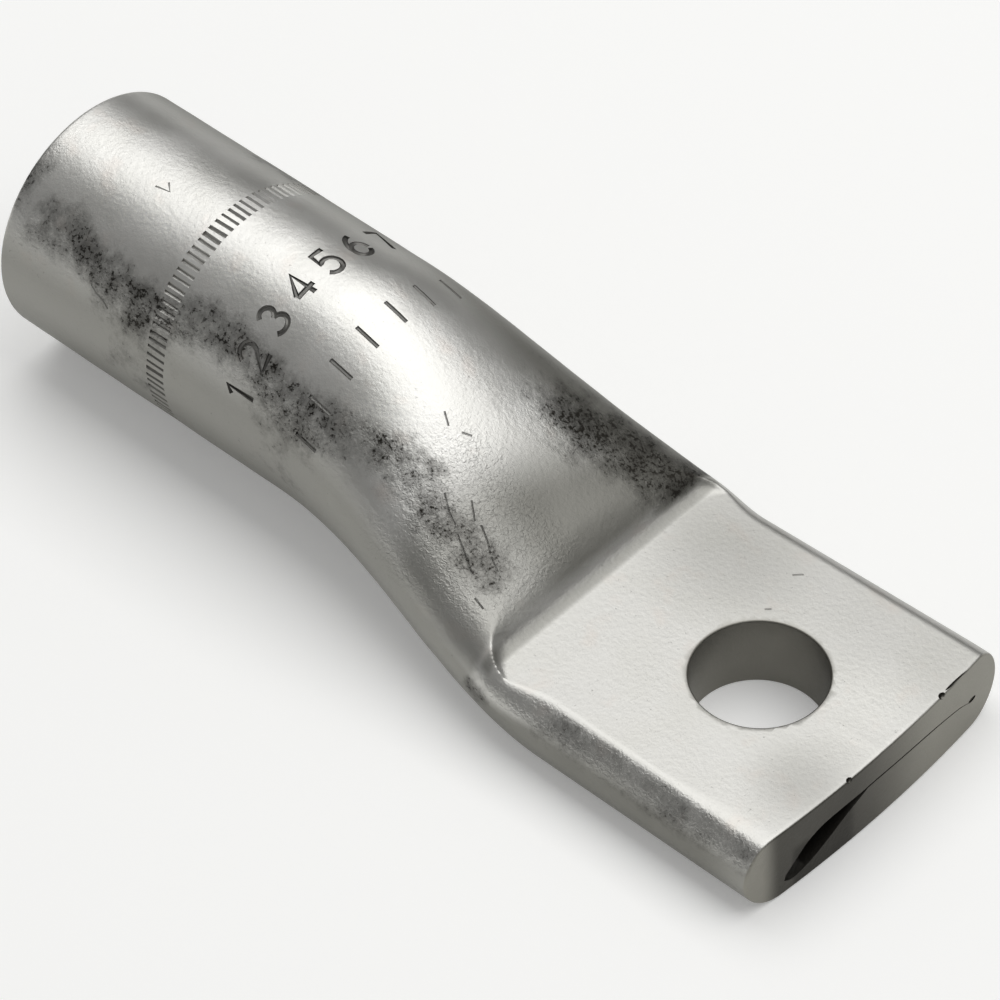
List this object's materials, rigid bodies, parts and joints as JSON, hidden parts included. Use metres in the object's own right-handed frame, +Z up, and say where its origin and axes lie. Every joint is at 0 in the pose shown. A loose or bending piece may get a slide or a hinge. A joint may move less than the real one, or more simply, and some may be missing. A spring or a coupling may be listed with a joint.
{
  "type": "cable lug",
  "caption": "Compression cable lug pressed from one length of heavy-wall round tube: an open barrel that takes a stranded conductor and a flat palm with a stud hole.",
  "frame": {"origin": "axis of the stud hole, on the palm's flat underside", "axes": "+X along the lug from the stud hole to the palm's free end, with the barrel along -X; +Z up, square to the palm; +Y to the left seen from the barrel"},
  "size_m": [0.0668, 0.0232, 0.017],
  "materials": {
    "plated_metal": "satin"
  },
  "bodies": {
    "root": {"lug_body": "plated_metal"}
  },
  "joints": []
}
